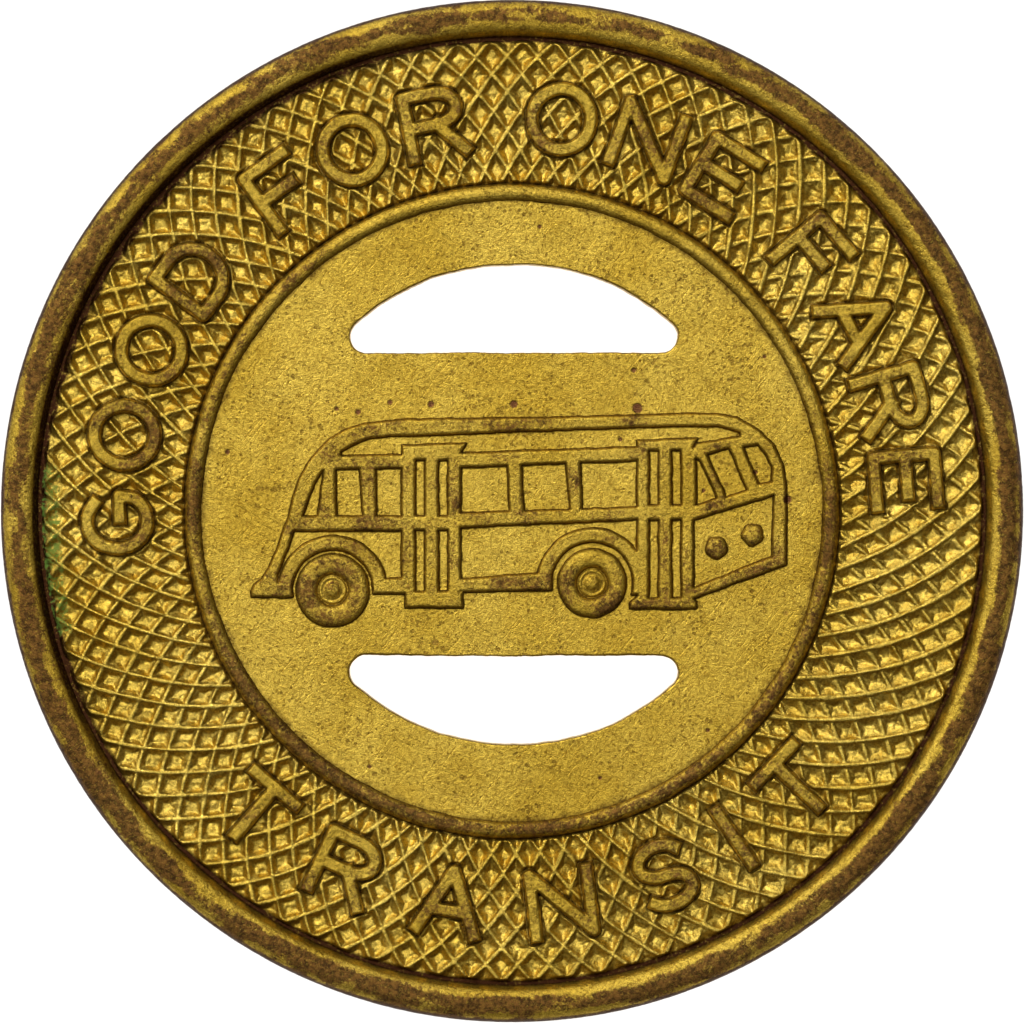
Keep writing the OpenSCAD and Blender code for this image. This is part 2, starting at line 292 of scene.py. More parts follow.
class Nodes:
    """Short names for building a node tree"""

    def __init__(self, tree):
        self.tree = tree

    def new(self, kind, inputs=None, **settings):
        node = self.tree.nodes.new(kind)
        for k, v in settings.items():
            setattr(node, k, v)
        for k, v in (inputs or {}).items():
            if isinstance(v, bpy.types.NodeSocket):
                self.tree.links.new(v, node.inputs[k])
            else:
                node.inputs[k].default_value = v
        return node

    def math(self, op, a, b, clamp=False):
        return self.new("ShaderNodeMath", {0: a, 1: b}, operation=op, use_clamp=clamp).outputs[0]

    def plus(self, a, b, clamp=False):
        return self.math("ADD", a, b, clamp)

    def minus(self, a, b, clamp=False):
        return self.math("SUBTRACT", a, b, clamp)

    def times(self, a, b, clamp=False):
        return self.math("MULTIPLY", a, b, clamp)

    def most(self, a, b):
        return self.math("MAXIMUM", a, b)

    def vector(self, op, a, b):
        return self.new("ShaderNodeVectorMath", {0: a, 1: b}, operation=op)

    def mix(self, factor, a, b):
        return self.new("ShaderNodeMix", {0: factor, 6: a, 7: b}, data_type="RGBA").outputs[2]

    def ramp(self, value, lo, hi, out_lo=0.0, out_hi=1.0):
        inputs = {0: value, 1: lo, 2: hi, 3: out_lo, 4: out_hi}
        return self.new("ShaderNodeMapRange", inputs, interpolation_type="SMOOTHSTEP").outputs[0]

    def noise(self, vector, scale, detail=2.0, rough=0.5, distortion=0.0):
        inputs = {"Vector": vector, "Scale": scale, "Detail": detail, "Roughness": rough}
        return self.new("ShaderNodeTexNoise", {**inputs, "Distortion": distortion}).outputs["Fac"]

    def cells(self, vector, scale):
        """Distance from the nearest of some scattered points, and that point"""
        node = self.new("ShaderNodeTexVoronoi", {"Vector": vector, "Scale": scale})
        return node.outputs["Distance"], node.outputs["Position"]

    def value(self, name):
        return self.new("ShaderNodeAttribute", attribute_name=name).outputs["Fac"]


def clean_metal(n, at, gold, deep, fine, grit):
    """Clouded gold with small dull flecks"""
    colour = n.mix(n.ramp(n.noise(at, 0.45, 4.0, 0.6), 0.3, 0.7), gold, deep)
    grain = n.ramp(n.plus(n.times(fine, 0.55), n.times(grit, 0.45)), 0.4, 0.62, 0.0, 0.6)
    fleck = n.ramp(n.noise(at, 8.0, 4.0, 0.75, 1.2), 0.52, 0.64, 0.0, 0.8)
    return n.mix(n.most(grain, fleck), colour, DULL)


def toning_and_shading(n, at, tone_and_shading, gain):
    """How brown the worn high points are, broken up into mottles, together with the painted light and shade
    that the tone carries
    """
    mottle = n.times(n.noise(at, 2.6, 3.0, 0.6, 0.6), 0.36)
    mottle = n.plus(mottle, n.times(n.noise(at, 12.0, 4.0, 0.7, 0.6), 0.64))
    reach = n.plus(mottle, n.times(n.minus(tone_and_shading, 0.75), 0.3))
    toned_and_shaded = n.times(n.ramp(reach, 0.4, 0.58), n.ramp(tone_and_shading, 0.02, 0.5, 0.0, gain))
    return n.times(toned_and_shaded, n.ramp(n.noise(at, 17.0, 4.0, 0.75, 1.0), 0.52, 0.68, 1.0, 0.5))


def small_pits(n, at, grit, gain):
    """Corrosion pits, which stand in crowds"""
    distance, centre = n.cells(at, 11.0)
    crowd = n.ramp(n.noise(at, 0.7, 2.0, 0.6), 0.3, 0.7, 0.5, 1.5)
    size = n.times(n.minus(n.noise(centre, 9.0, 0.0), 0.34), crowd)
    size = n.plus(size, n.times(n.minus(grit, 0.55), 0.6))
    return n.ramp(n.minus(size, distance), -0.04, 0.1, 0.0, gain)


def large_spots(n, at, fine, gain, marks):
    """Purple-brown spots: scattered ones, and on the obverse those listed in marks"""
    distance, centre = n.cells(at, 1.05)
    ragged = n.times(n.minus(fine, 0.5), 0.06)
    size = n.plus(n.times(n.minus(n.noise(centre, 2.3, 0.0), 0.42), 0.42), ragged)
    spot = n.ramp(n.minus(size, distance), -0.015, 0.03, 0.0, gain)
    if marks:
        flat = n.vector("MULTIPLY", at, (1, 1, 0)).outputs[0]
        height = n.new("ShaderNodeSeparateXYZ", {0: at}).outputs[2]
        obverse = n.math("GREATER_THAN", height, 1.0)
    for x, y, radius in marks:
        off = n.plus(n.vector("DISTANCE", flat, (x, y, 0)).outputs["Value"], ragged)
        mark = n.ramp(off, radius - 0.03, radius + 0.02, 0.9, 0.0)
        spot = n.most(spot, n.times(mark, obverse))
    return spot


def scratches(n, at):
    """Two sets of long fine scratches"""
    found = 0.0
    for angle, width, length in ((0.9, 0.036, 1.1), (-0.5, 0.033, 0.9)):
        along = n.new(
            "ShaderNodeMapping",
            {"Vector": at, "Rotation": (0, 0, angle), "Scale": (length, width, 0.25)},
            vector_type="TEXTURE",
        ).outputs[0]
        found = n.most(found, n.ramp(n.noise(along, 1.0, 1.0), 0.62, 0.74))
    return found


def brass(name, gold, deep, marks, rough, tone_gain, pit_gain, spot_gain, grain):
    """Worn struck brass. Scales are per mm; toning with painted light and shade, grime with painted shade,
    and green come from the mesh.
    """
    material = bpy.data.materials.new(name)
    material.use_nodes = True
    tree = material.node_tree
    tree.nodes.clear()
    n = Nodes(tree)
    place = n.new("ShaderNodeTexCoord").outputs["Object"]
    at = n.new("ShaderNodeVectorMath", {0: place, 3: 1 / MM}, operation="SCALE").outputs[0]
    fine = n.noise(at, 14.0, 4.0, 0.65)
    grit = n.noise(at, 42.0, 2.0, 0.6)

    # one layer over another: toning with painted light and shade, pits and spots, tarnish in the hollows and
    # painted shade, verdigris
    toned_and_shaded = toning_and_shading(n, at, n.value("tone_and_shading"), tone_gain)
    pit = small_pits(n, at, grit, pit_gain)
    spot = large_spots(n, at, fine, spot_gain, marks)
    grime_and_shade = n.times(n.value("dirt_and_shade"), n.ramp(fine, 0.25, 0.6, 0.65, 1.1), clamp=True)
    growth = n.plus(n.times(n.value("green"), 0.5), n.noise(at, 5.5, 4.0, 0.7, 1.0))
    moss = n.times(n.ramp(growth, 0.94, 1.1), 0.8, clamp=True)
    colour = clean_metal(n, at, gold, deep, fine, grit)
    colour = n.mix(toned_and_shaded, colour, n.mix(n.ramp(n.noise(at, 7.0, 4.0, 0.75), 0.38, 0.62), BROWN, TAN))
    colour = n.mix(spot, n.mix(pit, colour, SPECK), SPOT)
    colour = n.mix(moss, n.mix(grime_and_shade, colour, TARNISH_AND_SHADE), GREEN)

    wear = n.times(n.most(toned_and_shaded, grime_and_shade), 0.12)
    gloss = n.ramp(n.noise(at, 5.0, 3.0, 0.6), 0.3, 0.7, rough - 0.05, rough + 0.07)
    gloss = n.plus(gloss, n.plus(wear, n.times(moss, 0.5)))
    metal = n.minus(1.0, n.plus(wear, moss, clamp=True), clamp=True)

    relief = n.plus(fine, n.times(grit, 0.5))
    relief = n.minus(relief, n.times(n.most(pit, spot), 0.8))
    relief = n.minus(relief, n.times(scratches(n, at), 0.22))
    bump = n.new("ShaderNodeBump", {"Strength": 1.0, "Distance": grain * MM, "Height": relief}).outputs[0]
    shader = n.new(
        "ShaderNodeBsdfPrincipled",
        {"Base Color": colour, "Metallic": metal, "Roughness": gloss, "Normal": bump},
    )
    out = n.new("ShaderNodeOutputMaterial")
    tree.links.new(shader.outputs[0], out.inputs[0])
    return material


# the larger corrosion spots on the obverse, read one by one: x, y, radius
MARKS = (
    (-6.4, 1.33, 0.06), (-3.94, 2.3, 0.05), (-3.46, 2.22, 0.07), (-2.74, 2.44, 0.06), (-1.82, 2.4, 0.08),
    (0.04, 2.4, 0.09), (2.74, 3.16, 0.06), (5.67, 3.47, 0.05), (0.62, 6.39, 0.05), (-3.2, -5.74, 0.05),
    (1.98, -6.0, 0.05), (4.4, -4.93, 0.05), (2.82, 2.31, 0.12), (6.19, 0.26, 0.1), (5.46, 0.87, 0.06),
    (4.31, 0.46, 0.05), (2.44, 1.61, 0.05),
)
FIELD = brass(
    "field_brass", GOLD, DEEP, MARKS,
    rough=0.36, tone_gain=0.9, pit_gain=0.5, spot_gain=0.35, grain=0.014,
)
HATCH = brass(
    "hatched_brass", LIT_HATCH_GOLD, LIT_HATCH_DEEP, (),
    rough=0.34, tone_gain=0.6, pit_gain=0.15, spot_gain=0.1, grain=0.02,
)
TONED = brass(
    "toned_brass", GOLD, DEEP, MARKS,
    rough=0.43, tone_gain=0.95, pit_gain=0.35, spot_gain=0.35, grain=0.021,
)


# ---- rim and rings ----
EDGE_TOP_Z = 1.27  # where the rim's plain edge begins

# radius, z, tone, dirt: from the obverse's groove over the crown and down to the middle of the edge. The
# dirt, in the groove and round the outer corner, is grime and painted shade
RIM_HALF = [
    (10.60, 1.20, 0.2, 1.2), (10.64, 1.25, 0.2, 1.2), (10.665, 1.30, 0.2, 1.0), (10.70, 1.385, 0.25, 0.3),
    (10.74, 1.465, 0.3, 0.05), (10.785, 1.525, 0.38, 0.0), (10.84, 1.56, 0.45, 0.0), (10.90, 1.58, 0.6, 0.0),
    (10.97, 1.594, 0.9, 0.0), (11.06, TOKEN_T, 1.25, 0.0), (11.17, TOKEN_T, 1.28, 0.0),
    (11.26, 1.586, 1.02, 0.0), (11.34, 1.555, 0.62, 0.0), (11.40, 1.512, 0.52, 0.1), (11.435, 1.47, 0.8, 0.5),
    (11.46, 1.43, 1.0, 0.95), (11.49, 1.35, 1.0, 0.95), (TOKEN_R, EDGE_TOP_Z, 0.8, 0.5),
    (TOKEN_R, 1.15, 0.55, 0.1), (TOKEN_R, MID_Z, 0.5, 0.0),
]
RIM_PATH = RIM_HALF + [(r, TOKEN_T - z, tone_and_shading, dirt_and_shade) for r, z, tone_and_shading, dirt_and_shade in reversed(RIM_HALF[:-1])]

# radius, z, tone, dirt: from the field over the crown to the hatching. The dirt at both feet is grime and
# painted shade
BEAD_PATH = [
    (6.955, 1.385, 0.3, 0.9), (6.975, 1.40, 0.3, 0.9), (7.0, 1.445, 0.5, 0.3), (7.04, 1.488, 0.7, 0.0),
    (7.10, 1.514, 0.9, 0.0), (7.17, 1.52, 0.95, 0.0), (7.25, 1.506, 0.8, 0.0), (7.31, 1.46, 0.6, 0.0),
    (7.345, 1.375, 0.4, 0.45), (7.37, 1.30, 0.3, 0.9), (7.40, 1.262, 0.2, 0.9),
]

# where the rim has been knocked: turn, radius, size, depth
KNOCKS = (
    (318, 11.25, 0.16, 0.035), (23, 11.3, 0.12, 0.03), (141, 11.2, 0.14, 0.03),
    (228, 11.28, 0.1, 0.03), (200, 11.05, 0.1, 0.02), (77, 11.36, 0.12, 0.03),
)


def finer(points, step):
    """Puts more points along a path, so that none are further apart than step"""
    out = [points[0]]
    for a, b in zip(points, points[1:]):
        k = max(1, int(math.ceil(math.dist(a[:2], b[:2]) / step)))
        out += [tuple(np.array(a) + (np.array(b) - np.array(a)) * i / k) for i in range(1, k + 1)]
    return out


def lathe(path, columns, rise):
    """Turns a path of (radius, z, tone, dirt) about the disc's axis. rise(x, y, z) lifts it off the path."""
    r, z, tone_and_shading, dirt_and_shade = np.array(path).T[..., None]
    a = -np.linspace(0, 2 * np.pi, columns, endpoint=False)
    x, y = r * np.cos(a), r * np.sin(a)
    step_r, step_z = np.gradient(r, axis=0), np.gradient(z, axis=0)
    length = np.hypot(step_r, step_z)
    lift = rise(x, y, z)
    r, z = r - lift * step_z / length, z + lift * step_r / length
    return np.stack([r * np.cos(a), r * np.sin(a), z], -1), tone_and_shading, dirt_and_shade


def rim_rise(x, y, z):
    """Wear and knocks, all of them inwards. The plain edge has fine marks of the collar instead of wear."""
    around = np.arctan2(y, x) * TOKEN_R
    on_edge = smooth((np.hypot(x, y) - 11.45) / 0.04)
    wave = 0.008 * noise(x, y + 3 * z, 0.55, 21) + 0.006 * noise(x, y + 3 * z, 0.15, 22)
    collar = 0.0035 * noise(around, z * 0.05, 0.05, 23) + 0.003 * noise(around, z, 0.24, 24)
    rise = -0.002 - np.abs(wave * (1 - on_edge) + collar * on_edge)
    for turn, radius, size, depth in KNOCKS:
        cx, cy = radius * math.sin(math.radians(turn)), radius * math.cos(math.radians(turn))
        rise = rise - depth * np.exp(-((x - cx) ** 2 + (y - cy) ** 2) / size**2) * (z > MID_Z)
    return rise


def rim():
    p, tone_and_shading, dirt_and_shade = lathe(finer(RIM_PATH, 0.06), 1200, rim_rise)
    x, y, z = np.moveaxis(p, -1, 0)
    r, turn = np.hypot(x, y), turn_of(x, y)
    obverse = z > MID_Z
    # painted shade: the rim is browner at the lower right, away from the light
    painted_shade_side = cos_turn(turn, 140) * obverse
    tone_and_shading = tone_and_shading + 0.3 * noise(x, y, 1.3, 31) + (0.06 + 0.17 * painted_shade_side) * smooth((r - 10.86) / 0.1)
    # streaks along the rim: the noise repeats every 128 cells, so they close after one turn
    around = turn * 128 / 360
    streak = noise(around, 5.5 * r, 1.0, 32) + 0.7 * noise(2 * around, 10 * r, 1.0, 33)
    tone_and_shading = tone_and_shading + 0.48 * streak * window(r, 10.8, 0.15, 11.48, 0.06)
    # painted light: the inner slope is less brown at the upper right, where the light falls on it
    painted_lit_side = np.clip(cos_turn(turn, 60), 0, 1) * obverse
    tone_and_shading = tone_and_shading - 0.5 * painted_lit_side * smooth((11.12 - r) / 0.14)
    # painted shade: the rim's shadow along its foot at the upper left, the dark line at the foot a little
    # darker there, and the outer edge dark at the lower right, away from the light
    painted_rim_shadow = smooth((10.81 - r) / 0.05) * rim_shadow_side(turn) * obverse
    outline = np.clip(painted_shade_side, 0, 1) * smooth((r - 11.39) / 0.04) * smooth((z - 1.25) / 0.1)
    dirt_and_shade = np.maximum(dirt_and_shade * (0.95 - 0.1 * painted_shade_side), 0.97 * painted_rim_shadow)
    dirt_and_shade = np.maximum(dirt_and_shade, 0.85 * outline)
    values = {"tone_and_shading": tone_and_shading, "dirt_and_shade": dirt_and_shade, "green": verdigris(x, y, z)}
    grid_piece("rim", p, values, TONED, "toned_brass", ["outer_rim"])


def bead(side, tag, columns):
    """The raised ring between the field and the hatching, with painted light: less brown towards the top,
    where the light falls
    """

    def rise(x, y, z):
        return -0.012 * noise(x, y, 0.45, 41 + side) - 0.006 * noise(x, y, 0.15, 43 + side)

    p, tone_and_shading, dirt_and_shade = lathe(finer(BEAD_PATH, 0.03), columns, rise)
    x, y = p[..., 0], p[..., 1]
    painted_lit_side = smooth(cos_turn(turn_of(x, y), 14.3))
    values = {"tone_and_shading": tone_and_shading + 0.3 * noise(x, y, 1.1, 45 + side) - 0.8 * painted_lit_side, "dirt_and_shade": dirt_and_shade, "green": 0.0}
    grid_piece("inner_bead" + tag, p, values, TONED, "toned_brass", ["inner_ring" + tag], side=side)


# ---- legend ----
STROKE = 0.16  # half the width of a letter's strokes
CAP_LOW, CAP_HIGH = 8.03, 9.72  # radii of the letters' inner and outer ends
CAP = CAP_HIGH - CAP_LOW - 2 * STROKE
CAP_MID = (CAP_LOW + CAP_HIGH) / 2
LETTER_TOP = 1.505
WIDTHS = {
    "A": 1.62, "D": 1.5, "E": 1.42, "F": 1.36, "G": 1.55, "I": 0.34,
    "N": 1.62, "O": 1.65, "R": 1.5, "S": 1.4, "T": 1.5,
}


def strokes(letter):
    """Centre lines of a letter's strokes, x to the right and y up"""
    w, h = WIDTHS[letter] - 2 * STROKE, CAP
    left, right = -w / 2, w / 2
    stem = [(left, 0), (left, h)]
    bar = [(left, 0.52 * h), (0.3 * w, 0.52 * h)]
    bowl = arc(0.06 * w, 0.74 * h, 0.42 * w, 0.26 * h, 90, -90)
    s_top = arc(0, 0.745 * h, 0.46 * w, 0.255 * h, 30, 270)
    s_foot = arc(0, 0.245 * h, 0.48 * w, 0.245 * h, 90, -150)
    return {
        "A": [[(left, 0), (0, h), (right, 0)], [(-0.3 * w, 0.34 * h), (0.3 * w, 0.34 * h)]],
        "D": [stem + arc(-0.06 * w, h / 2, 0.56 * w, h / 2, 90, -90) + [(left, 0)]],
        "E": [[(right, 0), (left, 0), (left, h), (right, h)], bar],
        "F": [stem + [(right, h)], bar],
        "G": [arc(0, h / 2, w / 2, h / 2, 48, 325) + [(0.47 * w, 0.46 * h), (0.06 * w, 0.46 * h)]],
        "I": [[(0, 0), (0, h)]],
        "N": [stem + [(right, 0), (right, h)]],
        "O": [arc(0, h / 2, w / 2, h / 2, 0, 360, 36)],
        "R": [stem + bowl + [(left, 0.48 * h)], [(0.06 * w, 0.48 * h), (right, 0)]],
        "S": [s_top + s_foot],
        "T": [[(left, h), (right, h)], [(0, 0), (0, h)]],
    }[letter]


def spread(text, start, end, word_gap):
    """Each letter of a line with its turn, the outer letters' centres being at start and end"""
    places, at, previous = [], 0.0, None
    for ch in text:
        if ch == " ":
            at += word_gap
            continue
        if previous:
            at += (WIDTHS[previous] + WIDTHS[ch]) / 2
        places.append((ch, at))
        previous = ch
    # the spaces between letters take up what is left
    space = (math.radians(abs(end - start)) * CAP_MID - at) / (len(places) - 1)
    way = 1 if end > start else -1
    return [(ch, start + way * math.degrees((d + space * i) / CAP_MID)) for i, (ch, d) in enumerate(places)]


# letter, turn, and 1 if its top points out, -1 if in
LEGEND = [(ch, turn, 1) for ch, turn in spread("GOOD FOR ONE FARE", -91.5, 85.5, 0.95)]
LEGEND += [(ch, turn, -1) for ch, turn in spread("TRANSIT", 220.5, 134.0, 0)]


def legend_distance(x, y):
    """Distance from the nearest stroke's centre line"""
    best = np.full(x.shape, 1e9)
    r = np.hypot(x, y)
    turn = turn_of(x, y)
    for ch, middle, up in LEGEND:
        d = (turn - middle + 180) % 360 - 180
        near = (np.abs(d) < 7.5) & (r > CAP_LOW - 0.4) & (r < CAP_HIGH + 0.4)
        dr = np.radians(d[near])
        if up > 0:
            u, v = r[near] * np.sin(dr), r[near] * np.cos(dr) - CAP_LOW - STROKE
        else:
            u, v = -r[near] * np.sin(dr), CAP_HIGH - STROKE - r[near] * np.cos(dr)
        best[near] = np.minimum(best[near], strokes_distance(u, v, strokes(ch)))
    return best


# ---- hatched border ----
PIT_Z, RIDGE_Z = 1.286, 1.43  # the pits' floor and the ridges' crest
BANK = 0.68  # how much of that the sloping foot of a ridge takes up
GROOVE_Z = 1.264  # floor of the groove between hatching and rim
RING_FOOT_Z, LETTER_FOOT_Z = 1.28, 1.29  # what the hatching comes down to at the inner ring and the letters
AWAY_FROM_LIGHT = (0.53, -0.85)  # the way that the slopes with painted shade face, away from the light: down and right


def ridge_distance(angle, x, y, seed):
    """Degrees to the nearest of one set of ridges, which wander a little"""
    half = RIDGE_PITCH / 2
    return np.abs((angle + 0.25 * noise(x, y, 1.6, seed) + half) % RIDGE_PITCH - half)


def ridge_set(x, y, distance, foot, wider, strength, seed):
    """Crest and height, both 0 to 1, of ridges that have a narrow crest on a wider sloping bank"""
    crest = smooth((0.068 + 0.016 * noise(x, y, 0.3, seed) - distance) / 0.042)
    bank = np.clip((foot + wider - distance) / (0.1 + wider), 0, 1)
    return crest, (BANK * bank + (1 - BANK) * crest) * strength


def crossed_ridges(x, y, w, phi, turn, seed):
    """Height, tone and dirt of the hatching before anything is struck into it"""
    slope = np.degrees(np.hypot(1 / np.hypot(x, y), 1 / (CURL_D * np.cos(np.radians(w)))))
    a = ridge_distance(phi + w - RIDGE_A, x, y, seed) / slope
    b = ridge_distance(phi - w - RIDGE_B, x, y, seed + 1) / slope
    # on the right set a is fainter and set b broader; on the left set b is slightly fainter
    faint_a = 1 - 0.3 * window(turn, 15, 35, 185, 40)
    faint_b = 1 - 0.15 * window(turn, 215, 30, 300, 30)
    wide_b = 0.05 * window(turn, 10, 35, 205, 40)
    foot = 0.15 + 0.03 * noise(x, y, 0.3, seed + 13)
    crest_a, ridge_a = ridge_set(x, y, a, foot, 0.0, faint_a, seed + 2)
    crest_b, ridge_b = ridge_set(x, y, b, foot, wide_b, faint_b, seed + 12)
    crest = np.maximum(crest_a, crest_b)
    ridge = np.maximum(ridge_a, ridge_b) * (0.95 + 0.14 * noise(x, y, 0.35, seed + 3))
    rough = 0.018 * noise(x, y, 0.13, seed + 4) + 0.009 * noise(x, y, 0.06, seed + 5)
    rough = (rough + 0.014 * noise(x, y, 0.3, seed + 6)) * (1 - 0.75 * crest)
    z = np.maximum(PIT_Z + (RIDGE_Z - PIT_Z) * ridge + rough, GROOVE_Z)
    # the dark line along the ridges' feet is grime and painted shade
    return z, 0.2 * crest, 0.3 * soft_line(np.minimum(a, b), 0.07, 0.018)


def border(side, columns, rows, seed):
    """The hatched border's grid: points, values, and which cells belong to letters"""
    # the radius is CURL_D sin w, and a ridge runs where phi + w, or phi - w, is the same all along
    w = np.linspace(28.95, 45.2, rows)[:, None]
    phi = -(np.arange(columns) * 360.0 / columns)[None, :]
    w, phi = np.broadcast_arrays(w, phi)
    r = CURL_D * np.sin(np.radians(w))
    x, y = r * np.cos(np.radians(phi)), r * np.sin(np.radians(phi))
    turn = turn_of(x, y)
    z, tone_and_shading, dirt_and_shade = crossed_ridges(x, y, w, phi, turn, seed)

    # the hatching stops just short of the rim, in a groove, and runs down to the inner ring; the groove and
    # the ring's foot are darkened with grime and painted shade
    end = RIM_IN + 0.04 + 0.02 * noise(x, y, 0.4, seed + 7)
    fall = smooth((end - r) / 0.08)
    z = GROOVE_Z + (z - GROOVE_Z) * fall
    dirt_and_shade = np.maximum(dirt_and_shade, 1.12 * (1 - fall))
    # painted shadow of the rim over the hatching's outer edge at the upper left
    if side > 0:
        painted_rim_shadow = rim_shadow_side(turn) * smooth((r - 10.42 + 0.05 * noise(x, y, 0.3, 90)) / 0.1)
        dirt_and_shade = np.maximum(dirt_and_shade, 0.97 * painted_rim_shadow)
    inward = smooth((r - RING_OUT - 0.01) / 0.07)
    z = RING_FOOT_Z + (z - RING_FOOT_Z) * inward
    dirt_and_shade = np.maximum(dirt_and_shade, 0.8 * (1 - inward))

    # letters, with a narrow moat and a dark line round them, which is grime and painted shade at their foot
    depth = STROKE + 0.008 * noise(x, y, 0.2, seed + 8) - legend_distance(x, y)
    moat = smooth((depth + 0.06) / 0.045)
    z = z + (np.minimum(z, LETTER_FOOT_Z) - z) * moat
    lift = crown(depth / 0.062)
    top = LETTER_TOP + 0.008 * noise(x, y, 0.25, seed + 9) + 0.004 * noise(x, y, 0.08, seed + 11)
    z = np.where(depth > 0, LETTER_FOOT_Z + (top - LETTER_FOOT_Z) * lift, z)
    tone_and_shading = np.where(depth > 0, 0.2 + 0.36 * lift + 0.4 * noise(x, y, 0.9, seed + 10), tone_and_shading)
    line = soft_line(depth, -0.012, 0.024)
    dirt_and_shade = np.where(depth > 0.03, 0, np.maximum(dirt_and_shade * (depth < 0), line))

    p = np.stack([x, y, z + field_wave(x, y) * fall], -1)
    # painted shade on the banks that face down and right, away from the light
    facing = grid_normals(p, True)
    facing = facing * np.sign(facing[..., 2:3])
    painted_bank_shade = np.clip((AWAY_FROM_LIGHT[0] * facing[..., 0] + AWAY_FROM_LIGHT[1] * facing[..., 1] - 0.15) / 0.45, 0, 1)
    dirt_and_shade = np.maximum(dirt_and_shade, 0.5 * painted_bank_shade * (depth < -0.05))
    green = verdigris(x, y, z) if side > 0 else 0.0
    inner = depth[:-1] > 0
    letters = inner & np.roll(inner, -1, 1) & (depth[1:] > 0)
    return p, {"tone_and_shading": tone_and_shading, "dirt_and_shade": dirt_and_shade, "green": green}, letters


def border_pieces(side, tag, columns, rows, seed):
    """One face's hatching in quarters, and the legend's two lines"""
    p, values, letters = border(side, columns, rows, seed)
    nodes = ["hatching" + tag]
    normals = grid_normals(p, True)
    if normals[rows // 2, 0, 2] < 0:
        normals = -normals
    part = {"side": side, "normals": normals}
    quarter_of = ((np.arange(columns) + 0.5) * 360.0 / columns + 45) % 360 // 90
    for i, quarter in enumerate(("east", "south", "west", "north")):
        cells = ~letters & (quarter_of == i)
        grid_piece(f"hatching_{quarter}{tag}", p, values, HATCH, "hatched_brass", nodes, cells=cells, **part)
    upper = p[:-1, :, 1] > -3.0
    for line, own in (("upper", upper), ("lower", ~upper)):
        cells = letters & own
        grid_piece(f"legend_{line}{tag}", p, values, TONED, "toned_brass", nodes, cells=cells, **part)


# ---- bus ----
def line_y(line, x):
    (x0, y0), (x1, y1) = line
    return y0 + (y1 - y0) * (x - x0) / (x1 - x0)


def rect(x0, y0, x1, y1):
    return [(x0, y0), (x1, y0), (x1, y1), (x0, y1)]


def slots(low, high, *lefts):
    """Upright slots of a door"""
    return [rect(left, low, left + SLOT_W, high) for left in lefts]


def post(low, high):
    """A window post from the side belt to the side header. low and high are its edges at either end."""
    return [
        (low[0], line_y(BELT_TOP, low[0])), (low[1], line_y(BELT_TOP, low[1])),
        (high[1], line_y(HEADER_LOW, high[1])), (high[0], line_y(HEADER_LOW, high[0])),
    ]


def solid(loops, keep=None, cuts=()):
    """A shape made of loops, the inner ones being holes. keep trims it, along the lines in cuts."""
    return {"loops": [[tuple(q) for q in loop] for loop in loops], "keep": keep, "cuts": list(cuts)}


def fender(wheel, radii, left_foot, right_foot, right_end):
    """The arch over a wheel, which ends at its feet and at right_end"""
    (cx, cy), (inner, outer) = wheel, radii

    def keep(x, y):
        return (y > np.where(x < cx, left_foot, right_foot)) & (x < right_end)

    cuts = [
        [(cx - outer, left_foot), (cx - inner, left_foot)],
        [(cx + inner - 0.05, right_foot), (cx + outer, right_foot)],
        [(right_end, right_foot), (right_end, cy + outer)],
    ]
    return solid([ring_points(cx, cy, outer, 720), ring_points(cx, cy, inner, 720)], keep, cuts)


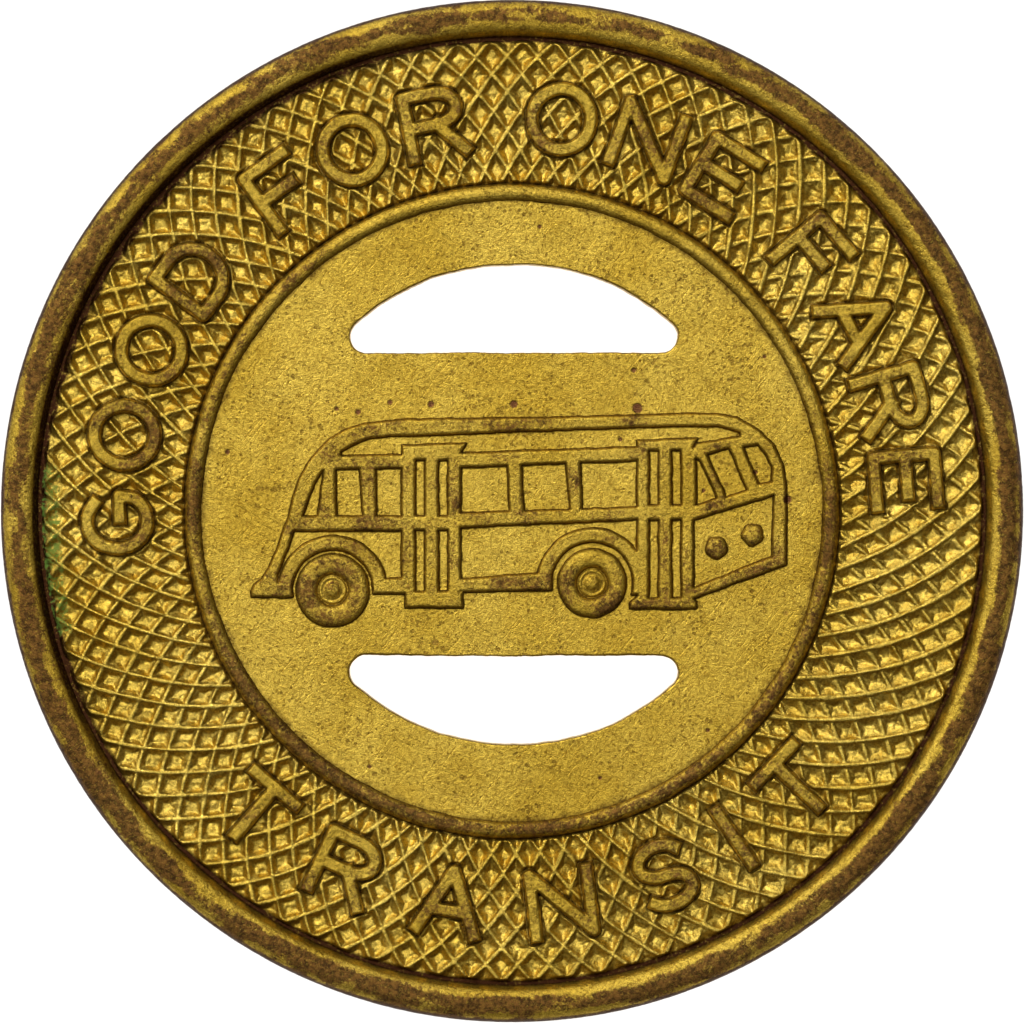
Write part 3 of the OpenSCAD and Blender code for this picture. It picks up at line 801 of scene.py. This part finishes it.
BUS = {
    "roof": solid([[
        [-4.35, 1.38], [-4.09, 1.64], [-3.75, 1.83], [-3.32, 1.96], [-2.76, 2.04], [-2.03, 2.07],
        [1.07, 2.11], [3.74, 2.19], [4.63, 2.18], [5.08, 2.11], [5.52, 1.84], [5.12, 1.77],
        [4.63, 1.9], [3.3, 1.89], [0.42, 1.79], [-1.6, 1.71], [-2.76, 1.68], [-3.19, 1.63],
        [-3.58, 1.48], [-3.84, 1.33],
    ]]),
    "rear_quarter": solid([[
        [-3.84, 1.33], [-4.35, 1.38], [-4.61, 1.05], [-4.8, 0.71], [-4.91, 0.34], [-5.03, SILL_Y],
        [-4.7, SILL_Y], [-4.57, 0.26], [-4.46, 0.56], [-4.29, 0.85], [-4.24, 0.9], [-4.24, 0.94],
        [-3.84, 0.94],
    ]]),
    "rear_tail": solid([[
        [-5.14, BELT_Y], [-5.18, -0.56], [-5.32, -0.95], [-5.47, -1.27], [-5.64, -1.53], [-5.8, -1.64],
        [-5.87, -1.79], [-5.85, TAIL_FLOOR_Y], [-5.25, TAIL_FLOOR_Y], [-5.25, -1.56], [-5.26, -1.42],
        [-5.04, -0.86], [-4.91, BELT_Y],
    ]]),
    "rear_header": solid([[[-3.84, 0.94], [REAR_L, 0.96], [REAR_L, 1.27], [-3.84, 1.25]]]),
    "side_header": solid([HEADER_LOW + HEADER_TOP[::-1]]),
    "window_posts": solid([
        [[-4.24, 0.94], [-4.24, 0.9], [-4.37, SILL_Y], [-3.94, SILL_Y], [-3.96, 0.94]],
        [[-3.43, 0.946], [-3.35, SILL_Y], [-3.04, SILL_Y], [-3.06, 0.9515]],
        post([-0.06, 0.27], [-0.1, 0.21]),
        post([1.3, 1.57], [1.21, 1.54]),
    ]),
    "rear_belt": solid([[[-5.03, SILL_Y], [-5.14, BELT_Y], [REAR_L, BELT_Y], [REAR_L, SILL_Y]]]),
    "side_belt": solid([BELT_LOW + BELT_TOP[::-1]]),
    "rear_door": solid([
        [
            [REAR_L, FLOOR_Y], [-2.4, FLOOR_Y], [-2.4, -2.17], [-1.1, -2.17], [-1.1, -1.82],
            [REAR_R, -1.82], [REAR_R, 1.31], [-1.02, 1.53], [REAR_L, 1.48],
        ],
        *slots(SILL_Y, 1.14, -2.17, -1.65),
        *slots(-1.8, -0.43, -2.17, -1.65),
    ]),
    "front_door": solid([
        [
            [2.65, -2.2], [4.14, -2.2], [4.14, -2.05], [FRONT_R, -1.98], [FRONT_R, 1.45],
            [4.18, 1.63], [FRONT_L, 1.59], [FRONT_L, -1.9], [2.65, -2.05],
        ],
        *slots(0.13, 1.37, 3.08, 3.59),
        *slots(-1.95, -0.2, 3.08, 3.59),
    ]),
    "windscreen_frame": solid([
        [
            [FRONT_R, -0.2], [5.88, 0.345], [6.165, 0.345], [6.165, 0.58], [6.08, 1.07],
            [5.88, 1.49], [5.52, 1.84], [5.12, 1.77], [5.12, 1.67], [4.14, 1.52], [FRONT_R, 1.41],
        ],
        [[4.14, 0.14], [4.6, 0.29], [4.23, 1.13], [4.14, 1.19]],
        [[4.39, 1.27], [4.88, 1.4], [5.28, 0.465], [4.81, 0.31]],
        [[5.19, 1.44], [5.52, 1.49], [5.72, 1.24], [5.83, 0.98], [5.84, 0.67], [5.54, 0.61]],
    ]),
    "nose_post": solid([[[5.88, 0.345], [5.84, -1.02], [6.165, -1.16], [6.165, 0.345]]]),
    "chin_bar": solid([[[FRONT_R, -1.72], [5.84, -1.02], [6.165, -1.16], [6.165, -1.2], [FRONT_R, -1.98]]]),
    "rear_skirt": solid([rect(-3.0, FLOOR_Y, REAR_L, -1.51)]),
    "side_skirt": solid([[[REAR_R, -1.82], [REAR_R, -1.53], [0.9, -1.36], [0.9, -1.78]]]),
    "rear_fender": fender(REAR_WHEEL, REAR_FENDER, TAIL_FLOOR_Y, FLOOR_Y, 0),
    "front_fender": fender(FRONT_WHEEL, FRONT_FENDER, -1.78, -1.88, FRONT_L),
}
WHEELS = ((REAR_WHEEL, REAR_TYRE_R), (FRONT_WHEEL, FRONT_TYRE_R))
FEATURES = (*BUS, "rear_tyre", "front_tyre", "rear_hub", "front_hub", "headlamps")


def inside_shape(shape, x, y):
    inside = np.zeros(x.shape, bool)
    for loop in shape["loops"]:
        inside ^= in_polygon(x, y, loop)
    if shape["keep"] is not None:
        inside &= shape["keep"](x, y)
    return inside


def inside_bus(x, y):
    """Inside any of the bus's shapes, but not in a wheel"""
    inside = np.zeros(x.shape, bool)
    for shape in BUS.values():
        inside |= inside_shape(shape, x, y)
    for (cx, cy), r in WHEELS:
        inside &= np.hypot(x - cx, y - cy) > r + 0.03
    return inside


def outline_points(step=0.008, reach=0.006):
    """Points along the bus's outline, leaving out the lines where two of its shapes meet"""
    xs, ys, nx, ny = [], [], [], []
    for shape in BUS.values():
        for line in [loop + loop[:1] for loop in shape["loops"]] + shape["cuts"]:
            for (ax, ay), (bx, by) in zip(line, line[1:]):
                length = math.hypot(bx - ax, by - ay)
                if length < 1e-9:
                    continue
                t = np.arange(0, length, step) / length
                xs.append(ax + (bx - ax) * t)
                ys.append(ay + (by - ay) * t)
                nx.append(np.full(len(t), (by - ay) / length))
                ny.append(np.full(len(t), (ax - bx) / length))
    xs, ys, nx, ny = map(np.concatenate, (xs, ys, nx, ny))
    edge = inside_bus(xs + reach * nx, ys + reach * ny) != inside_bus(xs - reach * nx, ys - reach * ny)
    return xs[edge], ys[edge]


def outline_depth(x, y):
    """How far inside the bus's outline each point is, less than 0 outside it"""
    ex, ey = outline_points()
    tree = kdtree.KDTree(len(ex))
    for i, (a, b) in enumerate(zip(ex.tolist(), ey.tolist())):
        tree.insert((a, b, 0.0), i)
    tree.balance()
    nearest = [tree.find((a, b, 0.0))[2] for a, b in zip(x.ravel().tolist(), y.ravel().tolist())]
    nearest = np.array(nearest).reshape(x.shape)
    return np.where(inside_bus(x, y), nearest, -nearest)


def wheel_relief(d, r, up):
    """A wheel's height, tone and dark lines. d is the distance from its centre; up is 1 at the tyre's top.
    The dark lines at the edges of tyre and hub are grime and painted shade.
    """
    across = np.clip(np.abs(d - (r + HUB_R) / 2) / ((r - HUB_R) / 2), 0, 1)
    tyre = np.sqrt(np.maximum(1 - across**3, 0))
    hub = HUB_RISE * crown((HUB_R - 0.03 - d) / 0.05) - 0.022 * soft_line(d, HUB_GROOVE_R, 0.025)
    boss = BOSS_RISE * crown((BOSS_R * 0.95 - d) / 0.17)
    height = np.where(d > HUB_R, TYRE_RISE * tyre, np.maximum(hub, boss))
    # painted shade: the tyre is browner towards its bottom, away from the light
    tone_and_shading = np.where(d > HUB_R, 0.2 + (0.52 - 0.25 * up) * tyre, 0.18 + 0.38 * (boss > 0.02))
    line = 0.0
    for ring_r, width, strength in ((r, 0.018, 0.95), (HUB_R, 0.018, 0.9), (HUB_GROOVE_R, 0.014, 0.6)):
        line = np.maximum(line, strength * soft_line(d, ring_r, width))
    return height, tone_and_shading, line


def bus_relief(x, y):
    """Height above the field, tone and dirt over a grid that holds the bus"""
    wx, wy = x + 0.012 * noise(x, y, 0.22, 101), y + 0.012 * noise(x, y, 0.22, 102)
    depth = outline_depth(wx, wy) + 0.008
    lift = crown(depth / 0.075)
    # the dark line along the relief's foot is grime and painted shade
    height, tone_and_shading, line = BUS_RISE * lift, FIELD_TONE + 0.36 * lift, soft_line(depth, 0, 0.017)
    for (cx, cy), r in WHEELS:
        d = np.hypot(wx - cx, wy - cy)
        own = d < r + 0.01
        wheel_height, wheel_tone, wheel_line = wheel_relief(d, r, (wy - cy) / r)
        height = np.where(own, wheel_height, height)
        tone_and_shading = np.where(own, wheel_tone, tone_and_shading)
        line = np.maximum(np.where(own, 0, line), wheel_line)
    for cx, cy in LAMPS:
        d = np.hypot(wx - cx, wy - cy) + 0.012 * np.cos(5 * np.arctan2(wy - cy, wx - cx) + cx)
        own = d < LAMP_R + 0.01
        lamp = crown((LAMP_R - d) / 0.17)
        height = np.where(own, LAMP_RISE * lamp, height)
        tone_and_shading = np.where(own, 0.3 + 0.3 * lamp, tone_and_shading)
        line = np.maximum(line, 0.95 * soft_line(d, LAMP_R, 0.017))
    tone_and_shading = (tone_and_shading + 0.38 * noise(x, y, 0.6, 103)) * (height > 0.004)
    return height, np.maximum(tone_and_shading, FIELD_TONE), 0.95 * line


def feature_at(x, y):
    """Which of FEATURES each point lies in, counted from 1; 0 is none"""
    label = np.zeros(x.shape, int)
    for i, shape in enumerate(BUS.values()):
        label[inside_shape(shape, x, y)] = i + 1
    tyre, hub, lamp = (1 + FEATURES.index(name) for name in ("rear_tyre", "rear_hub", "headlamps"))
    for i, ((cx, cy), r) in enumerate(WHEELS):
        d = np.hypot(x - cx, y - cy)
        label[(d > r) & (d < r + 0.03)] = 0
        label[d <= r] = tyre + i
        label[d <= HUB_R] = hub + i
    for cx, cy in LAMPS:
        label[np.hypot(x - cx, y - cy) < LAMP_R] = lamp
    return label


# ---- field ----
PATCH = (-6.16, -2.76, 6.32, 2.42)  # the part of the field that holds the bus: left, low, right, high
MARGIN_R = 7.03  # the field's outer end, beneath the inner ring
LIP = 0.05  # width of a cut-out's rounded lip
FIELD_TONE = 0.12  # how toned the plain field is

# how far a cut-out's wall stands back, and z: a rounded lip where the punch went in, a slight burr below
WALL = [
    (LIP, FIELD_Z), (0.034, 1.398), (0.02, 1.391), (0.01, 1.381), (0.003, 1.366), (0.0, 1.345), (0.0, 1.15),
    (0.0, 0.9), (0.002, 0.6), (0.005, 0.4), (0.009, 0.28), (0.015, 0.225), (0.026, 0.207), (0.038, 0.201),
    (LIP, 0.2),
]


def cut_outline(cx, way, grow):
    """A cut-out's outline with its outward normals. way is 1 for the upper cut-out and -1 for the lower."""
    corner_y = CUT_FLAT + CUT_CORNER
    corner_x = math.sqrt((CUT_R - CUT_CORNER) ** 2 - corner_y**2)
    a = math.atan2(corner_y, corner_x)
    points = [(corner_x * t, CUT_FLAT, 0.0, -1.0) for t in np.linspace(-1, 1, 130, endpoint=False)]
    for x0, y0, r, start, end, n in (
        (corner_x, corner_y, CUT_CORNER, -math.pi / 2, a, 24),
        (0, 0, CUT_R, a, math.pi - a, 150),
        (-corner_x, corner_y, CUT_CORNER, math.pi - a, 1.5 * math.pi, 24),
    ):
        for t in np.linspace(start, end, n, endpoint=False):
            points.append((x0 + r * math.cos(t), y0 + r * math.sin(t), math.cos(t), math.sin(t)))
    q = np.array(points)
    shifted = q[:, 0] + 20 * way
    uneven = 0.018 * noise(shifted, q[:, 1], 0.8, 121) + 0.009 * noise(shifted, q[:, 1], 0.24, 122)
    q[:, :2] += (grow + uneven)[:, None] * q[:, 2:]
    return np.array([cx, CUT_Y]) + way * q[:, :2], way * q[:, 2:]


def wave_normals(x, y):
    """Normals of the plain field"""
    e = 0.01
    gx = (field_wave(x + e, y) - field_wave(x - e, y)) / (2 * e)
    gy = (field_wave(x, y + e) - field_wave(x, y - e)) / (2 * e)
    n = np.stack([-gx, -gy, np.ones_like(x)], -1)
    return n / np.linalg.norm(n, axis=-1, keepdims=True)


def loose_points(cx, clear):
    """Slightly scattered points over the margin, clear of its edges"""
    rng = np.random.default_rng(7)
    g = np.arange(-7, 7.01, 0.16)
    x, y = np.meshgrid(g, g)
    x = x + rng.uniform(-0.04, 0.04, x.shape)
    y = y + rng.uniform(-0.04, 0.04, y.shape)
    x0, y0, x1, y1 = PATCH
    ok = np.hypot(x, y) < MARGIN_R - clear
    ok &= ~in_box(x, y, x0 - clear, y0 - clear, x1 + clear, y1 + clear)
    for way in (1, -1):
        ok &= ~in_polygon(x, y, cut_outline(cx, way, LIP + clear)[0].tolist())
    return list(zip(x[ok].tolist(), y[ok].tolist()))


def margin_piece(side, name, xs, ys, cx):
    """The field round the bus's patch and the cut-outs, out to beneath the inner ring"""
    edge = [(a, ys[0]) for a in xs[:-1]] + [(xs[-1], b) for b in ys[:-1]]
    edge += [(a, ys[-1]) for a in xs[:0:-1]] + [(xs[0], b) for b in ys[:0:-1]]
    holes = [cut_outline(cx, way, LIP)[0].tolist() for way in (1, -1)]
    points, edges = [], []
    for loop in [ring_points(0, 0, MARGIN_R, 480), edge] + holes:
        start = len(points)
        points += loop
        edges += [(start + i, start + (i + 1) % len(loop)) for i in range(len(loop))]
    points += loose_points(cx, 0.07)
    verts, _, faces, *_ = delaunay_2d_cdt([Vector(q) for q in points], edges, [], 0, 1e-6)
    v = np.array([tuple(q) for q in verts])
    f = np.array([tuple(t) for t in faces if len(t) == 3])
    x, y = v[f].mean(1).T
    keep = (np.hypot(x, y) < MARGIN_R) & ~in_box(x, y, *PATCH)
    for loop in holes:
        keep &= ~in_polygon(x, y, loop)
    f = f[keep]
    a, b, c = v[f[:, 0]], v[f[:, 1]], v[f[:, 2]]
    area = (b[:, 0] - a[:, 0]) * (c[:, 1] - a[:, 1]) - (b[:, 1] - a[:, 1]) * (c[:, 0] - a[:, 0])
    f[area < 0] = f[area < 0][:, ::-1]
    used, back = np.unique(f, return_inverse=True)
    f, (x, y) = back.reshape(f.shape), v[used].T
    co = turned(np.stack([x, y, FIELD_Z + field_wave(x, y)], 1), side)
    # the dark line at the inner ring's foot is grime and painted shade
    values = {"tone_and_shading": FIELD_TONE, "dirt_and_shade": 0.9 * smooth((np.hypot(x, y) - 6.93) / 0.05), "green": 0.0}
    normals = turned_normals(wave_normals(x, y), side)
    new_piece(name, co, f, normals, values, FIELD, ["centre_field"])


def node_of(feature, side):
    """The CAD node that a feature of the bus stands for"""
    if side > 0:
        return feature
    return "wheels_reverse" if feature.endswith(("tyre", "hub")) else "bus_reverse"


def field_pieces(side, tag, step):
    """One face's field with the bus on it, on a grid of about this step"""
    x0, y0, x1, y1 = PATCH
    xs = np.linspace(x0, x1, round((x1 - x0) / step) + 1)
    ys = np.linspace(y0, y1, round((y1 - y0) / step) + 1)
    x, y = np.meshgrid(xs, ys)
    height, tone_and_shading, dirt_and_shade = bus_relief(x, y)
    p = np.stack([x, y, FIELD_Z + field_wave(x, y) + height], -1)
    values = {"tone_and_shading": tone_and_shading, "dirt_and_shade": dirt_and_shade, "green": 0.0}
    # along the patch's edge the normals are those of the field round it
    normals, plain = grid_normals(p, False), wave_normals(x, y)
    normals[[0, -1], :] = plain[[0, -1], :]
    normals[:, [0, -1]] = plain[:, [0, -1]]
    part = {"side": side, "wrap": False, "normals": normals}
    label = feature_at((x[:-1, :-1] + x[1:, 1:]) / 2, (y[:-1, :-1] + y[1:, 1:]) / 2)
    nodes = ["centre_field"]
    grid_piece("field_centre" + tag, p, values, FIELD, "field_brass", nodes, cells=label == 0, **part)
    for i, name in enumerate(FEATURES):
        nodes = [node_of(name, side)]
        grid_piece(f"bus_{name}{tag}", p, values, TONED, "toned_brass", nodes, cells=label == i + 1, **part)
    margin_piece(side, "field_margin" + tag, xs.tolist(), ys.tolist(), side * CUT_X)


def wall(way, name):
    """The wall of a cut-out. At either end it meets the field."""
    rings = []
    for grow, z in WALL:
        points, out = cut_outline(CUT_X, way, grow)
        x, y = points.T
        rough = (0.006 * noise(x + y, z * 0.15, 0.05, 131) + 0.004 * noise(x, y, 0.3, 132)) * (grow < 0.03)
        x, y = x + rough * out[:, 0], y + rough * out[:, 1]
        wave = field_wave(x, y) if z > MID_Z else -field_wave(-x, y)
        rings.append(np.stack([x, y, z + wave * (grow >= LIP)], -1))
    p = np.array(rings)
    z = np.array(WALL)[:, 1:]
    # the wall is darker down its face and in a line under the lip: grime and painted shade
    dirt_and_shade = 0.25 * window(z, 0.22, 0.1, 1.36, 0.1) + 0.6 * soft_line(z, 1.37, 0.02)
    normals = grid_normals(p, True)
    if normals[0].mean(0)[2] < 0:
        normals = -normals
    values = {"tone_and_shading": 0.25, "dirt_and_shade": dirt_and_shade, "green": 0.0}
    grid_piece(name, p, values, FIELD, "field_brass", ["centre_field"], normals=normals)


# ---- floor, light and camera ----
FLOOR_HALF_M = 0.45  # half of the floor's width, in metres: as far as its light keeps it white
CAMERA_HEIGHT = 200.0  # above the floor
CAMERA_Y = -0.022  # the disc is this far off the middle of the picture
HALF_VIEW = 11.5144  # half of the picture's width at the height where the disc is widest


def pale_floor():
    corners = [(x, y, 0) for x, y in rect(-FLOOR_HALF_M, -FLOOR_HALF_M, FLOOR_HALF_M, FLOOR_HALF_M)]
    mesh = bpy.data.meshes.new("floor")
    mesh.from_pydata(corners, [], [(0, 1, 2, 3)])
    paint = bpy.data.materials.new("floor_paint")
    paint.use_nodes = True
    shader = paint.node_tree.nodes["Principled BSDF"]
    shader.inputs["Base Color"].default_value = (0.93, 0.93, 0.92, 1)
    shader.inputs["Roughness"].default_value = 0.9
    shader.inputs["Specular IOR Level"].default_value = 0.1
    mesh.materials.append(paint)
    floor = bpy.data.objects.new("floor", mesh)
    bpy.context.scene.collection.objects.link(floor)
    return floor


def studio_world():
    """White to the camera, and dim as a source of light"""
    world = bpy.data.worlds.new("studio")
    bpy.context.scene.world = world
    world.use_nodes = True
    tree = world.node_tree
    backdrop = tree.nodes["Background"]
    backdrop.inputs["Color"].default_value = (1.0, 0.99, 0.98, 1)
    n = Nodes(tree)
    seen = n.new("ShaderNodeLightPath").outputs["Is Camera Ray"]
    tree.links.new(n.ramp(seen, 0, 1, 0.1, 1.05), backdrop.inputs["Strength"])


def area_light(name, azimuth, elevation, distance, size, power):
    """A round soft light that points at the token. Azimuth is a turn; distance and size are in metres."""
    a, e = math.radians(azimuth), math.radians(elevation)
    data = bpy.data.lights.new(name, "AREA")
    data.shape = "DISK"
    data.size = size
    data.energy = power
    light = bpy.data.objects.new(name, data)
    way = Vector((math.sin(a) * math.cos(e), math.cos(a) * math.cos(e), math.sin(e)))
    light.location = way * distance
    light.rotation_mode = "QUATERNION"
    light.rotation_quaternion = way.to_track_quat("Z", "Y")
    bpy.context.scene.collection.objects.link(light)
    return light


def studio_lights(floor):
    """Key and fill for the token alone, and for the floor alone a light without shadows"""
    key = area_light("key", 328, 49, 1.2, 0.62, 10.4)
    fill = area_light("fill", 322, 82, 1.3, 1.3, 3.8)
    wash = area_light("floor_wash", 0, 88, 1.5, 2.0, 36.0)
    wash.data.use_shadow = False
    only_floor = bpy.data.collections.new("floor_only")
    only_floor.objects.link(floor)
    wash.light_linking.receiver_collection = only_floor
    all_but_floor = bpy.data.collections.new("all_but_floor")
    all_but_floor.objects.link(floor)
    all_but_floor.collection_objects[0].light_linking.link_state = "EXCLUDE"
    for light in (key, fill):
        light.light_linking.receiver_collection = all_but_floor


def long_camera():
    """Straight above the token, so far off that heights hardly change what it sees"""
    data = bpy.data.cameras.new("camera")
    data.type = "PERSP"
    data.sensor_width = 36
    data.lens = data.sensor_width / 2 * (CAMERA_HEIGHT - EDGE_TOP_Z) / HALF_VIEW
    data.clip_start = 0.01
    camera = bpy.data.objects.new("camera", data)
    camera.location = (0.0, CAMERA_Y * MM, CAMERA_HEIGHT * MM)
    bpy.context.scene.collection.objects.link(camera)
    bpy.context.scene.camera = camera
    bpy.context.scene.view_settings.view_transform = "Standard"


# ---- everything ----
rim()
bead(1, "", 1440)
bead(-1, "_reverse", 720)
border_pieces(1, "", 1800, 146, 61)
border_pieces(-1, "_reverse", 1260, 96, 81)
field_pieces(1, "", 0.022)
field_pieces(-1, "_reverse", 0.034)
wall(1, "cut_out_wall_upper")
wall(-1, "cut_out_wall_lower")
# the web has no surface of its own in view, so it keeps its CAD shape
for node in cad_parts.values():
    node.data.materials.clear()
    node.data.materials.append(FIELD)

studio_world()
studio_lights(pale_floor())
long_camera()
